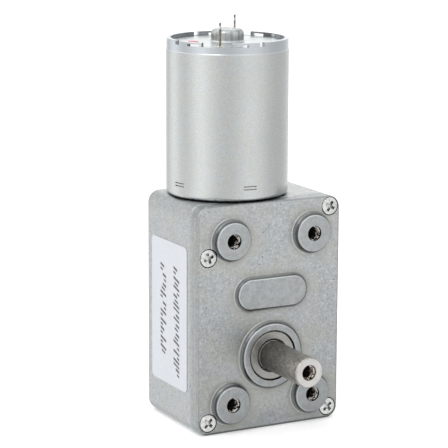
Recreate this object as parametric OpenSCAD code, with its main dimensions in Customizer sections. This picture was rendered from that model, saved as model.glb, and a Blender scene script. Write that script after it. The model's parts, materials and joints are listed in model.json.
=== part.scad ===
// Right-angle geared DC motor: a worm gearbox with a brushed motor standing on its top face.
// The origin is on the output shaft's axis, in the plane of the four mounting bosses.
// The output shaft points along -Y, the motor stands along +Z, and X runs across the front face.

/* [Gearbox case] */
// Width of the gearbox across its front face
box_w = 32; // [32:0.1:34]
// Height of the gearbox
box_h = 46; // [46:0.1:48]
// Depth of the gearbox without its bosses
box_d = 23.6; // [23.6:0.1:25]
// Height of the output shaft above the gearbox's bottom face
shaft_height = 15; // [14.8:0.1:15.2]
// Distance of the case's centre from the shaft's axis, across the face
case_x = -0.35; // [-0.4:0.05:0]
// Thickness of the front cover plate
cover_t = 3.2; // [3:0.1:3.3]
// Wall thickness of the rear shell
wall = 2.3; // [2:0.1:2.4]
// Radius of the case's four long corners
corner_r = 2.5; // [2.4:0.1:2.8]
// Radius of the cover's front edges
front_edge_r = 0.6; // [0.4:0.1:1.4]
// Radius of the housing's rear edges
rear_edge_r = 2.2; // [1:0.1:2.3]

/* [Mounting bosses] */
// Distance between the mounting holes across the face
hole_dx = 18; // [18:0.5:19]
// Distance between the mounting holes up the face
hole_dz = 33; // [33:0.5:34]
// Height of the pattern's centre above the shaft's axis
hole_mid_z = 7.5; // [7.4:0.1:7.6]
// Diameter of a mounting boss
boss_d = 7.5; // [7:0.1:7.6]
// Height of a mounting boss above the cover's face
boss_h = 1.4; // [1.1:0.1:1.5]
// Diameter of the M3 thread in the bosses and in the shaft's end
thread_d = 3; // [2.6:0.1:3]

/* [Output shaft] */
// Diameter of the output shaft
shaft_d = 6; // [5:0.5:6]
// Length of the output shaft in front of the mounting plane
shaft_out = 14; // [10:0.5:20]
// Outer diameter of the two shaft bushes
bush_d = 9.8; // [9.4:0.1:10]
// Depth of the thread in the shaft's end
shaft_thread_depth = 8; // [5:0.5:10]

/* [Gear train] */
// Module of the spur gear pair
spur_module = 0.8; // [0.78:0.01:0.8]
// Teeth on the idler's steel pinion
pinion_teeth = 13; // [13:1:13]
// Teeth on the output gear
output_teeth = 21; // [21:1:21]
// Axial module of the worm
worm_module = 0.5; // [0.48:0.01:0.5]
// Number of starts of the worm's thread
worm_starts = 2; // [2:1:2]
// Teeth on the worm wheel
wheel_teeth = 20; // [20:1:20]
// Pitch radius of the worm
worm_pitch_r = 2.8; // [2.7:0.05:2.8]
// Thinning of every tooth, for backlash
backlash = 0.1; // [0.08:0.01:0.14]

/* [Motor] */
// Diameter of the motor's can
can_d = 24.4; // [24:0.1:24.6]
// Length of the can from its front face to its rim
can_len = 31; // [30:0.1:32]
// Distance of the motor's axis from the shaft's axis, across the face
motor_x = -3.2; // [-3.4:0.1:-3]
// Distance of the motor's axis behind the mounting plane
motor_y = 14.2; // [14:0.1:14.4]
// Diameter of the motor's shaft
rotor_shaft_d = 2.3; // [2:0.1:2.4]
// Direction of the terminals about the motor's axis, in degrees from +X towards +Y
terminal_dir = 52; // [0:1:90]
// Height of the terminals above the end plate
terminal_h = 4.4; // [3:0.1:7]

/* [Hidden] */

$fn = 64;
hull_fn = 32;          // segments of the corners that a hull joins
overlap = 0.5;         // how far joined shapes sink into each other
run_gap = 0.03;        // radial clearance of a running fit
gap = 0.1;             // free gap between neighbouring pieces

// planes of the case, front to back and bottom to top
face_y = boss_h;
part_y = face_y + cover_t;
back_y = face_y + box_d;
inner_back_y = back_y - wall - 0.1;
bottom_z = -shaft_height;
top_z = bottom_z + box_h;
top_wall = wall + 0.3;
seam = 0.15;           // chamfer of the two shells at their joint

// bosses and pads on the cover
boss_fillet = 0.75;
boss_rim = 0.25;
hub_face_y = face_y - 1;
hub_d = 13;
hub_recess_d = bush_d + 0.5;
hub_recess = 1.2;
pad_face_y = face_y - 0.8;
pad_r = 3.05;
pad_half = 4.6;
pillar_r = 2.8;
pillar_len = 1.4;

// cover screws: [x, z, turn of the cross] of each head
screw_x = box_w / 2 - 2.4;
screw_at = [
  [case_x - screw_x, bottom_z + 2.6, 42],
  [case_x + screw_x, bottom_z + 2.5, 50],
  [case_x + screw_x, top_z - 2.1, 30],
  [case_x - screw_x, top_z - 10.1, 70]
];
screw_head_d = 3.6;
screw_gap = 0.1;        // gap round a screw's head
screw_d = 2;
screw_bore = 9;        // depth of the screws' holes in the rear shell
screw_len = 7.5;       // length of the screws' shanks in those holes
screw_proud = 0.12;
post_r = 2.5;
bush_wall = 1.6;       // wall of the bosses that hold the shaft's bushes
pin_wall = 1.7;        // wall of the bosses that hold the idler's pin

// output shaft stack
shaft_r = shaft_d / 2;
bush_bore_r = shaft_r + run_gap;
front_bush_end = part_y + 0.7;
gear_y = front_bush_end + 0.7;
gear_w = 4.5;
gear_hub_w = 2;
rear_bush_y = gear_y + gear_w + gear_hub_w + 0.8;
rear_bush_len = 6;
shaft_end_y = rear_bush_y + rear_bush_len + 0.6;
groove_y = 0.2;
groove_w = 0.6;
shaft_washer_r = 4.6;

// idler: worm wheel and pinion turn together on a fixed pin
wheel_pitch_r = worm_module * wheel_teeth / 2;
idler_x = motor_x + worm_pitch_r + wheel_pitch_r;
idler_z = sqrt(pow(spur_module * (pinion_teeth + output_teeth) / 2, 2) - pow(idler_x, 2));
pin_r = 1.5;
pin_washer_r = 2.9;
pinion_w = 5;
shank_r = 3;
wheel_w = 5;
wheel_y = motor_y - wheel_w / 2;
idler_end_y = wheel_y + wheel_w + 0.2;
spur_angle = 25;
rack_angle = 20;

// worm
worm_lead = PI * worm_module * worm_starts;
worm_len = 9;
worm_z = idler_z - worm_len / 2;
worm_hub_len = 4.2;
worm_crest_r = worm_pitch_r + worm_module;
worm_root_r = worm_pitch_r - 1.2 * worm_module;
slice_turn = 18;       // degrees of worm thread per slice

// motor, from its front face up
standoff = 0.2;
seat_r = 9.5;          // radius of the raised seat under the motor
can_r = can_d / 2;
can_wall = 1;
can_z = top_z + standoff;
rim_z = can_z + can_len;
plate_z = rim_z - 0.8;
plate_t = 0.8;
can_inner_r = can_r - can_wall;
nose_r = 3.1;
nose_len = 1.9;
rotor_r = rotor_shaft_d / 2;
motor_bush_r = 2.2;
dome_r = 3.25;
dome_h = 2.5;
bottom_round = 0.8;
band_h = 2.2;
screw_ring_r = 8.5;
motor_screw_r = 1.25;

// cuts in the can's rim and its pressed marks, in degrees from the terminals' line
opening_half = 14.5;
notch_dir = 44;
notch_w = 1.2;
slot_dir = 23.5;
slot_half = 6.5;
slot_h = 0.45;
rim_cut = 0.75;        // depth of the notches and openings
mark_dirs = [-40, 32];
mark_z = 2.7;

// rotor stack
core_z = can_z + 6.5;
core_len = 14;
core_r = 8.5;
insulator_t = 0.6;
coil_end = 1.8;
poles = 3;
comm_r = 3;
comm_len = 4.4;
comm_flange = 0.8;
segment_t = 0.6;
comm_z = core_z + core_len + insulator_t + coil_end + 0.3;
magnet_in_r = 8.9;
magnet_half = 58;
holder_t = 1.8;
holder_z = plate_z - plate_t - holder_t;
brush_z = holder_z - 2.5;
terminal_r = 8.2;
terminal_w = 1.4;
terminal_t = 0.2;
lug_half = 7;          // half the angle of the brush holder's lugs in the end plate
tab_len = 2.8;         // length of the brush holder's tabs, which hold the terminals
tab_w = 1.1;

// ---------- helpers ----------

// a cylinder along Y
module y_rod(r, y0, y1, x = 0, z = 0) {
  translate([x, y1, z]) rotate([90, 0, 0]) cylinder(r = r, h = y1 - y0);
}

// a solid of revolution about Y from points [radius, y]
module y_turned(points, x = 0, z = 0) {
  translate([x, 0, z]) rotate([-90, 0, 0]) rotate_extrude() polygon(points);
}

// a flat outline, drawn as x and z, given thickness along Y
module y_plate(y0, y1) {
  translate([0, y1, 0]) rotate([90, 0, 0]) linear_extrude(y1 - y0) children();
}

module at_motor(z = 0, turn = 0) {
  translate([motor_x, motor_y, z]) rotate([0, 0, turn]) children();
}

// two copies, half a turn apart
module both_sides() {
  for (turn = [0, 180]) rotate([0, 0, turn]) children();
}

// a corner post of the case: its profile between two planes, with both ends rounded
function post_points(y0, y1, front_r, rear_r) =
  let (front_step = 90 / round_steps(front_r), rear_step = 90 / round_steps(rear_r))
  concat([[0, y0]],
    [for (a = [0:front_step:90])
      [corner_r - front_r * (1 - sin(a)), y0 + front_r * (1 - cos(a))]],
    [for (a = [0:rear_step:90])
      [corner_r - rear_r * (1 - cos(a)), y1 - rear_r * (1 - sin(a))]],
    [[0, y1]]);

// a chamfer for the seam between the shells, an arc for any larger radius
function round_steps(r) = r > seam ? 5 : 1;

// the case's rounded block between two planes
module case_block(y0, y1, front_r, rear_r) {
  hull()
    for (side = [-1, 1], z = [bottom_z + corner_r, top_z - corner_r])
      translate([case_x + side * (box_w / 2 - corner_r), 0, z])
        rotate([-90, 0, 0])
          rotate_extrude($fn = hull_fn)
            polygon(post_points(y0, y1, front_r, rear_r));
}

// the side of a raised boss as [radius, y], from its filleted foot to its rounded rim
function boss_side(r, top_y) =
  let (foot_y = face_y - 0.02, rise = min(boss_fillet, foot_y - top_y - boss_rim - 0.03))
  concat([[r + boss_fillet, face_y + overlap]],
    [for (a = [0:22.5:90]) [r + boss_fillet * (1 - sin(a)), foot_y - rise * (1 - cos(a))]],
    [for (a = [0:30:90]) [r - boss_rim * (1 - cos(a)), top_y + boss_rim * (1 - sin(a))]]);

module boss(r, top_y, x, z) {
  y_turned(concat([[0, face_y + overlap]], boss_side(r, top_y), [[0, top_y]]), x, z);
}

// the straight middle of an oblong boss, a hair inside the round ends that it joins
module boss_bridge(r, top_y, half, z) {
  side = boss_side(r - 0.01, top_y + 0.01);
  translate([-half, 0, z]) rotate([90, 0, 90]) linear_extrude(2 * half)
    polygon(concat([for (p = side) [p[1], p[0]]],
      [for (i = [len(side) - 1:-1:0]) [side[i][1], -side[i][0]]]));
}

// involute of a pressure angle, in degrees
function inv(a) = tan(a) * 180 / PI - a;

// half the angle that a tooth fills at radius r
function half_tooth(teeth, m, angle, r) =
  let (pitch_r = m * teeth / 2, base_r = pitch_r * cos(angle))
  90 / teeth - backlash / 2 / pitch_r * 180 / PI / 2
    + inv(angle) - inv(acos(min(1, base_r / r)));

// outline of an involute gear with one tooth centred on the +X direction
function gear_points(teeth, m, angle, depth) =
  let (
    pitch_r = m * teeth / 2,
    base_r = pitch_r * cos(angle),
    root_r = pitch_r - depth * m,
    low_r = max(base_r, root_r),
    tip_r = pitch_r + m,
    radii = [for (i = [0:3]) low_r + (tip_r - low_r) * i / 3]
  )
  [for (t = [0:teeth - 1], p = concat(
      [[root_r, -half_tooth(teeth, m, angle, low_r)]],
      [for (r = radii) [r, -half_tooth(teeth, m, angle, r)]],
      [for (i = [3:-1:0]) [radii[i], half_tooth(teeth, m, angle, radii[i])]],
      [[root_r, half_tooth(teeth, m, angle, low_r)]]))
    let (a = p[1] + t * 360 / teeth) p[0] * [cos(a), sin(a)]];

// ---------- case ----------

module gearbox_housing() {
  color("#a9adb0") difference() {
    union() {
      case_block(part_y, back_y, seam, rear_edge_r);
      at_motor(top_z - overlap) cylinder(r = seat_r, h = standoff + overlap);
    }
    difference() {
      translate([case_x - box_w / 2 + wall, part_y - 1, bottom_z + wall])
        cube([box_w - 2 * wall, inner_back_y - part_y + 1, box_h - wall - top_wall]);
      for (s = screw_at) y_rod(post_r, part_y, back_y, s[0], s[1]);
      y_rod(bush_d / 2 + bush_wall, rear_bush_y - gap, back_y);
      y_rod(pin_r + pin_wall, idler_end_y + 0.5, back_y, idler_x, idler_z);
    }
    for (s = screw_at) y_rod(screw_d / 2, part_y - 1, part_y + screw_bore, s[0], s[1]);
    y_rod(bush_d / 2, rear_bush_y - 1, rear_bush_y + rear_bush_len);
    y_rod(shaft_r + 0.3, rear_bush_y, shaft_end_y + 0.4);
    y_rod(pin_r, idler_end_y, inner_back_y + 0.8, idler_x, idler_z);
    at_motor(top_z - top_wall - 1) cylinder(r = nose_r + 0.05, h = top_wall + standoff + 2);
    at_motor(top_z - top_wall - 1, terminal_dir + 90) both_sides()
      translate([screw_ring_r, 0, 0])
        cylinder(r = motor_screw_r + 0.15, h = top_wall + standoff + 2);
  }
}

module front_cover() {
  head_r = screw_head_d / 2 + screw_gap;
  hole_r = screw_d / 2 + 0.1;
  color("#a9adb0") difference() {
    union() {
      case_block(face_y, part_y, front_edge_r, seam);
      for (x = [-1, 1], z = [-1, 1]) {
        boss(boss_d / 2, 0, x * hole_dx / 2, hole_mid_z + z * hole_dz / 2);
        y_rod(pillar_r, part_y - overlap, part_y + pillar_len,
          x * hole_dx / 2, hole_mid_z + z * hole_dz / 2);
      }
      boss(hub_d / 2, hub_face_y, 0, 0);
      for (x = [-pad_half, pad_half]) boss(pad_r, pad_face_y, x, idler_z);
      boss_bridge(pad_r, pad_face_y, pad_half, idler_z);
      y_rod(bush_d / 2 + bush_wall, part_y - overlap, front_bush_end);
      y_rod(pin_r + pin_wall, part_y - overlap, front_bush_end, idler_x, idler_z);
    }
    for (x = [-1, 1], z = [-1, 1])
      y_rod(thread_d / 2, -1, part_y + pillar_len + 1,
        x * hole_dx / 2, hole_mid_z + z * hole_dz / 2);
    for (s = screw_at)
      y_turned([[0, face_y - 3], [head_r, face_y - 3], [head_r, face_y + 0.35],
        [hole_r, face_y + 1.4], [hole_r, part_y + 1], [0, part_y + 1]], s[0], s[1]);
    y_rod(hub_recess_d / 2, hub_face_y - 1, hub_face_y + hub_recess);
    y_rod(bush_d / 2, hub_face_y, front_bush_end + 1);
    y_rod(pin_r, pad_face_y + 1.2, front_bush_end + 1, idler_x, idler_z);
  }
}

module cover_screws() {
  head_y = face_y - screw_proud;
  head_r = screw_head_d / 2;
  crown = 0.25;
  cross_len = 2.2;
  cross_w = 0.6;
  cross_depth = 0.6;
  color("#d9dbdc") for (s = screw_at) difference() {
    y_turned([[0, head_y], [head_r - 2 * crown, head_y], [head_r - crown / 2, head_y + crown / 3],
      [head_r, head_y + crown], [head_r, face_y + 0.3], [screw_d / 2, face_y + 1.3],
      [screw_d / 2, part_y + screw_len], [0, part_y + screw_len]], s[0], s[1]);
    translate([s[0], head_y, s[1]]) for (turn = [s[2], s[2] + 90]) rotate([0, turn, 0])
      translate([-cross_len / 2, -overlap, -cross_w / 2])
        cube([cross_len, overlap + cross_depth, cross_w]);
  }
}

module rating_label() {
  label_t = 0.1;
  label_d = 15.5;
  label_h = 29.4;
  label_r = 1;
  label_front = 4.5;
  label_low = 7.9;
  color("#f2f4f7")
    translate([case_x - box_w / 2 - label_t, face_y + label_front, bottom_z + label_low])
      hull() for (y = [label_r, label_d - label_r], z = [label_r, label_h - label_r])
        translate([0, y, z]) rotate([0, 90, 0]) cylinder(r = label_r, h = label_t, $fn = hull_fn);
}

// ---------- output shaft ----------

module front_bush() {
  mouth_y = hub_face_y + 0.1;
  color("#b7b9ba") y_turned([[bush_bore_r + 0.42, mouth_y], [bush_d / 2 - 0.15, mouth_y],
    [bush_d / 2, mouth_y + 0.15], [bush_d / 2, front_bush_end],
    [bush_bore_r, front_bush_end], [bush_bore_r, mouth_y + 0.45]]);
}

module rear_bush() {
  color("#b7b9ba") y_turned([[bush_bore_r, rear_bush_y], [bush_d / 2, rear_bush_y],
    [bush_d / 2, rear_bush_y + rear_bush_len], [bush_bore_r, rear_bush_y + rear_bush_len]]);
}

// a flat ring about a Y axis
module ring(inner_r, outer_r, y0, y1, x = 0, z = 0) {
  y_turned([[inner_r, y0], [outer_r, y0], [outer_r, y1], [inner_r, y1]], x, z);
}

module shaft_washers() {
  hub_end = gear_y + gear_w + gear_hub_w;
  color("silver") {
    ring(shaft_r + gap, shaft_washer_r, front_bush_end + gap, gear_y - gap);
    ring(shaft_r + gap, shaft_washer_r, hub_end + gap, rear_bush_y - gap);
  }
}

module output_shaft() {
  bevel = 0.2;
  mouth = 0.1;
  relief = 0.25;
  color("#6f6d69") difference() {
    y_turned([[0, -shaft_out], [shaft_r - bevel, -shaft_out], [shaft_r, -shaft_out + bevel],
      [shaft_r, groove_y], [shaft_r - relief, groove_y],
      [shaft_r - relief, groove_y + groove_w], [shaft_r, groove_y + groove_w],
      [shaft_r, shaft_end_y - bevel], [shaft_r - bevel, shaft_end_y], [0, shaft_end_y]]);
    y_turned([[0, -shaft_out - 1], [thread_d / 2 + mouth, -shaft_out - 1],
      [thread_d / 2 + mouth, -shaft_out], [thread_d / 2, -shaft_out + mouth],
      [thread_d / 2, -shaft_out + shaft_thread_depth], [0, -shaft_out + shaft_thread_depth]]);
  }
}

module output_gear() {
  hub_r = 4.5;
  mesh_dir = atan2(idler_z, idler_x);
  color("#8d9093") difference() {
    union() {
      y_plate(gear_y, gear_y + gear_w)
        rotate(mesh_dir - 180 / output_teeth)
          polygon(gear_points(output_teeth, spur_module, spur_angle, 1.25));
      y_rod(hub_r, gear_y + overlap, gear_y + gear_w + gear_hub_w);
    }
    y_rod(shaft_r, gear_y - 1, gear_y + gear_w + gear_hub_w + 1);
  }
}

// ---------- idler ----------

module idler_pin() {
  color("#9a9c9e") y_rod(pin_r, pad_face_y + 1.3, inner_back_y + 0.7, idler_x, idler_z);
}

module idler_washers() {
  color("silver") {
    ring(pin_r + gap, pin_washer_r, front_bush_end + gap, gear_y - gap, idler_x, idler_z);
    ring(pin_r + gap, pin_washer_r, idler_end_y + 0.05, idler_end_y + 0.45, idler_x, idler_z);
  }
}

module idler_pinion() {
  mesh_dir = atan2(idler_z, idler_x);
  color("#85888b") difference() {
    union() {
      y_plate(gear_y, gear_y + pinion_w)
        translate([idler_x, idler_z]) rotate(mesh_dir + 180)
          polygon(gear_points(pinion_teeth, spur_module, spur_angle, 1.25));
      y_rod(shank_r, gear_y + overlap, idler_end_y, idler_x, idler_z);
    }
    y_rod(pin_r + run_gap, gear_y - 1, idler_end_y + 1, idler_x, idler_z);
  }
}

module worm_wheel() {
  turn = wheel_w * worm_lead / (2 * PI * worm_pitch_r) / wheel_pitch_r * 180 / PI;
  color("#c8a14e") difference() {
    translate([idler_x, wheel_y + wheel_w, idler_z]) rotate([90, 0, 0]) rotate([0, 0, -turn / 2])
      linear_extrude(wheel_w, twist = -turn, slices = 4, segments = 1)
        polygon(gear_points(wheel_teeth, worm_module, rack_angle, 1.2));
    y_rod(shank_r, wheel_y - 1, wheel_y + wheel_w + 1, idler_x, idler_z);
  }
}

// radius of the worm's outline at an angle from a thread's centre
function worm_r(a) =
  let (
    s = abs(a) / 360 * worm_lead,
    half_at_pitch = PI * worm_module / 4 - backlash / 2,
    r = worm_pitch_r + (half_at_pitch - s) / tan(rack_angle)
  )
  max(worm_root_r, min(worm_crest_r, r));

module worm() {
  step = 10;
  hub_r = 2.6;
  turn = 360 * worm_len / worm_lead;
  color("#c2a35a") at_motor(worm_z) difference() {
    union() {
      rotate([0, 0, 90 - turn / 2])
        linear_extrude(worm_len, twist = -turn, slices = round(turn / slice_turn), segments = 1)
          polygon([for (k = [0:worm_starts - 1], a = [-90:step:90 - step])
            let (d = a + k * 360 / worm_starts) worm_r(a) * [cos(d), sin(d)]]);
      translate([0, 0, worm_len - overlap]) cylinder(r = hub_r, h = worm_hub_len + overlap);
    }
    translate([0, 0, -1]) cylinder(r = rotor_r, h = worm_len + worm_hub_len + 2);
  }
}

// ---------- motor shell ----------

module motor_screws() {
  head_h = 1.5;
  head_r = 2.1;
  cross_len = 2.4;
  cross_w = 0.5;
  cross_depth = 0.9;
  color("#b9bbbd") at_motor(top_z - top_wall, terminal_dir + 90) both_sides()
    translate([screw_ring_r, 0, 0]) difference() {
      union() {
        translate([0, 0, -head_h]) cylinder(r = head_r, h = head_h);
        cylinder(r = motor_screw_r, h = top_wall + standoff + can_wall + 0.6);
      }
      for (turn = [0, 90]) rotate([0, 0, turn])
        translate([-cross_len / 2, -cross_w / 2, -head_h - 1])
          cube([cross_len, cross_w, 1 + cross_depth]);
    }
}

module motor_can() {
  band_in = 0.08;
  lip = 0.1;
  inner_lip_r = 1.6;
  mark_len = 2.7;
  mark_w = 0.22;
  mark_depth = 0.3;
  foot = [for (a = [0:15:90])
    [can_r - bottom_round * (1 - sin(a)), bottom_round * (1 - cos(a))]];
  color("#c3c6c6") difference() {
    at_motor(can_z) rotate_extrude($fn = 96) polygon(concat(
      [[inner_lip_r, -nose_len], [nose_r - 0.3, -nose_len], [nose_r, -nose_len + 0.3], [nose_r, 0]],
      foot,
      [[can_r, can_len - band_h], [can_r - band_in, can_len - band_h + 0.12],
        [can_r - band_in, can_len - lip], [can_r - band_in - lip, can_len],
        [can_inner_r, can_len], [can_inner_r, can_wall], [motor_bush_r, can_wall],
        [motor_bush_r, -nose_len + 0.3], [inner_lip_r, -nose_len + 0.3]]));
    at_motor(can_z, terminal_dir + 90) both_sides()
      translate([screw_ring_r, 0, -1]) cylinder(r = motor_screw_r, h = can_wall + 2);
    at_motor(can_z + mark_z, terminal_dir) both_sides()
      for (turn = mark_dirs, z = [-mark_w, mark_w]) rotate([0, 0, turn])
        translate([can_r - mark_depth, -mark_len / 2, 1.3 * z - mark_w / 2])
          cube([1, mark_len, mark_w]);
    at_motor(rim_z - rim_cut, terminal_dir) both_sides() {
      for (side = [-1, 1]) rotate([0, 0, side * notch_dir])
        translate([can_inner_r - 1, -notch_w / 2, 0]) cube([can_wall + 2, notch_w, rim_cut + 1]);
      rim_arc(opening_half, rim_cut + 1);
    }
    at_motor(plate_z, terminal_dir) both_sides()
      for (side = [-1, 1]) rotate([0, 0, side * slot_dir]) rim_arc(slot_half, slot_h);
  }
}

// a cutter through the can's wall that spans half degrees to both sides of +X
module rim_arc(half, h) {
  rotate([0, 0, -half]) rotate_extrude(angle = 2 * half)
    translate([can_inner_r - overlap, 0]) square([can_wall + 2 * overlap, h]);
}

// a flat ring about the motor's axis
module motor_ring(inner_r, outer_r, z0, z1) {
  at_motor(z0) rotate_extrude() translate([inner_r, 0]) square([outer_r - inner_r, z1 - z0]);
}

module motor_front_bush() {
  color("#a58b5c")
    motor_ring(rotor_r + run_gap, motor_bush_r, can_z - nose_len + 0.3, can_z + 2.4);
}

module motor_rear_bush() {
  color("#a58b5c") motor_ring(rotor_r + run_gap, motor_bush_r, plate_z - 0.7, plate_z + 1.8);
}

module motor_end_plate() {
  shoulder = 0.9;
  plate_r = can_inner_r - 0.05;
  slack = gap / 2 + 0.05;
  top = [for (a = [0:15:90])
    [dome_r - shoulder * (1 - cos(a)), dome_h - shoulder * (1 - sin(a))]];
  color("#bfc4c8") difference() {
    at_motor(plate_z) rotate_extrude() polygon(concat(
      [[motor_bush_r, -plate_t], [plate_r, -plate_t], [plate_r, 0],
        [dome_r + 0.3, 0], [dome_r, 0.3]],
      top, [[0, dome_h], [0, dome_h - 0.6], [motor_bush_r, dome_h - 0.6]]));
    at_motor(plate_z - plate_t - 1, terminal_dir) both_sides() {
      translate([terminal_r - tab_len / 2 - slack, -tab_w / 2 - slack, 0])
        cube([tab_len + 2 * slack, tab_w + 2 * slack, plate_t + 2]);
      rotate([0, 0, -lug_half - 1]) rotate_extrude(angle = 2 * lug_half + 2)
        translate([can_inner_r - 1 - slack, 0]) square([2, plate_t + 2]);
    }
  }
}

module magnets() {
  color("#3c3b3a") at_motor(core_z - 1.5, terminal_dir + 90) both_sides()
    rotate([0, 0, -magnet_half]) rotate_extrude(angle = 2 * magnet_half)
      translate([magnet_in_r, 0]) square([can_inner_r - magnet_in_r - 0.05, core_len + 3]);
}

module magnet_clip() {
  clip_t = 0.4;
  clip_half = 90 - magnet_half - 1.2;
  clip_h = 12;
  clip_r = can_inner_r - 0.2;
  leg_r = magnet_in_r + 0.3;
  leg_dir = clip_half - 3;
  color("#a7abae") at_motor(core_z + 1, terminal_dir) {
    rotate([0, 0, -clip_half]) rotate_extrude(angle = 2 * clip_half)
      translate([clip_r - clip_t, 0]) square([clip_t, clip_h]);
    for (side = [-1, 1]) rotate([0, 0, side * leg_dir]) translate([leg_r, -clip_t / 2, 0])
      cube([clip_r - clip_t / 2 - leg_r, clip_t, clip_h]);
  }
}

module brush_holder() {
  lug_r = can_inner_r - 1;
  lug_t = 0.75;
  bore_r = 4.2;
  slack = 0.02;
  color("#ddd8c4") difference() {
    union() {
      motor_ring(bore_r, can_inner_r - 0.1, holder_z, holder_z + holder_t);
      at_motor(holder_z + overlap, terminal_dir) both_sides() {
        rotate([0, 0, -lug_half]) rotate_extrude(angle = 2 * lug_half)
          translate([lug_r, 0]) square([lug_t, holder_t + plate_t - overlap - 0.1]);
        translate([terminal_r - tab_len / 2, -tab_w / 2, 0])
          cube([tab_len, tab_w, holder_t + plate_t - overlap - 0.05]);
      }
    }
    at_motor(holder_z - 1, terminal_dir) both_sides()
      translate([terminal_r - terminal_w / 2 - slack, -terminal_t / 2 - slack, 0])
        cube([terminal_w + 2 * slack, terminal_t + 2 * slack, holder_t + plate_t + 4]);
  }
}

module brush_springs() {
  strip = 0.25;
  strip_h = 2.3;
  tip_u = 1.3;
  back = comm_r + 2.1;
  leg_u = terminal_r - 0.1;
  leg_v = terminal_t / 2 + 0.02;
  color("#b0713c") at_motor(brush_z, terminal_dir) both_sides() {
    translate([-tip_u, back, 0]) cube([leg_u + tip_u + strip, strip, strip_h]);
    translate([leg_u, leg_v, 0]) cube([strip, back + strip - leg_v, strip_h]);
  }
}

module brushes() {
  brush_w = 2.2;
  brush_l = 1.96;
  brush_h = 2.1;
  color("#2e2e30") at_motor(brush_z + 0.1, terminal_dir) both_sides()
    translate([-brush_w / 2, comm_r + 0.06, 0]) cube([brush_w, brush_l, brush_h]);
}

module terminals() {
  hole_r = 0.35;
  low = brush_z + 0.4;
  color("#b4835e") at_motor(low, terminal_dir) both_sides() difference() {
    translate([terminal_r - terminal_w / 2, -terminal_t / 2, 0])
      cube([terminal_w, terminal_t, plate_z + terminal_h - low]);
    translate([terminal_r, 1, plate_z + terminal_h - low - 1])
      rotate([90, 0, 0]) cylinder(r = hole_r, h = 2);
  }
}

// ---------- rotor ----------

module motor_shaft() {
  color("#c9cbcc") at_motor(worm_z) cylinder(r = rotor_r, h = plate_z + 1.7 - worm_z);
}

// one lamination's outline: hub, stems and pole shoes
module lamination(trim = 0) {
  hub_r = 3;
  stem_w = 2.4;
  shoe_t = 1.2;
  shoe_half = 50;
  difference() {
    union() {
      circle(r = hub_r - trim);
      for (p = [0:poles - 1]) rotate(p * 360 / poles) {
        translate([0, -stem_w / 2 + trim]) square([core_r - shoe_t / 2, stem_w - 2 * trim]);
        intersection() {
          difference() {
            circle(r = core_r - trim);
            circle(r = core_r - shoe_t);
          }
          polygon([[0, 0], for (a = [-shoe_half:25:shoe_half]) 2 * core_r * [cos(a), sin(a)]]);
        }
      }
    }
    circle(r = rotor_r);
  }
}

module armature_core() {
  color("#8a8d90") at_motor(core_z) linear_extrude(core_len) lamination();
}

module armature_insulators() {
  color("#2f5f49") for (z = [core_z - insulator_t, core_z + core_len])
    at_motor(z) linear_extrude(insulator_t) lamination(0.1);
}

module windings() {
  reach = core_len / 2 + insulator_t + coil_end;
  hollow = core_len / 2 + insulator_t + 0.05;
  half_w = 3.6;
  start_r = 3.1;
  end_r = core_r - 1.3;
  stem_half = 1.25;
  color("#a2531f") at_motor(core_z + core_len / 2)
    for (p = [0:poles - 1]) rotate([0, 0, p * 360 / poles]) difference() {
      intersection() {
        translate([start_r, -half_w, -reach]) cube([core_r, 2 * half_w, 2 * reach]);
        translate([0, 0, -reach - 1]) cylinder(r = end_r, h = 2 * reach + 2);
      }
      translate([start_r - 1, -stem_half, -hollow]) cube([core_r, 2 * stem_half, 2 * hollow]);
    }
}

module commutator_hub() {
  low = core_z + core_len + insulator_t + 0.1;
  height = comm_z + comm_len - low;
  color("#4a2f22") difference() {
    union() {
      at_motor(low) cylinder(r = comm_r - segment_t, h = height);
      at_motor(comm_z) cylinder(r = comm_r + 0.5, h = comm_flange);
    }
    at_motor(low - 1) cylinder(r = rotor_r, h = height + 2);
  }
}

module commutator_segments() {
  slit = 4;
  color("#c07a45") at_motor(comm_z + comm_flange) for (p = [0:poles - 1])
    rotate([0, 0, p * 360 / poles + slit / 2]) rotate_extrude(angle = 360 / poles - slit)
      translate([comm_r - segment_t, 0]) square([segment_t, comm_len - comm_flange - 0.2]);
}

module rotor_spacers() {
  color("#e6e2d6") {
    motor_ring(rotor_r, 2.4, can_z + 2.6, core_z - insulator_t - gap);
    motor_ring(rotor_r, 2, comm_z + comm_len + gap, plate_z - plate_t - gap);
  }
}

gearbox_housing();
front_cover();
cover_screws();
rating_label();
front_bush();
rear_bush();
shaft_washers();
output_shaft();
output_gear();
idler_pin();
idler_washers();
idler_pinion();
worm_wheel();
worm();
motor_screws();
motor_can();
motor_front_bush();
motor_rear_bush();
motor_end_plate();
magnets();
magnet_clip();
brush_holder();
brush_springs();
brushes();
terminals();
motor_shaft();
armature_core();
armature_insulators();
windings();
commutator_hub();
commutator_segments();
rotor_spacers();
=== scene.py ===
"""The looks of a right-angle geared DC motor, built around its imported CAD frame.

Every object is in metres, in the frame of the CAD model: the output shaft points along -Y and
the motor stands along +Z. Material textures work in millimetres of the same frame.
"""

import json
import math
import random

import bmesh
import bpy
from mathutils import Matrix, Vector


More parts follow.
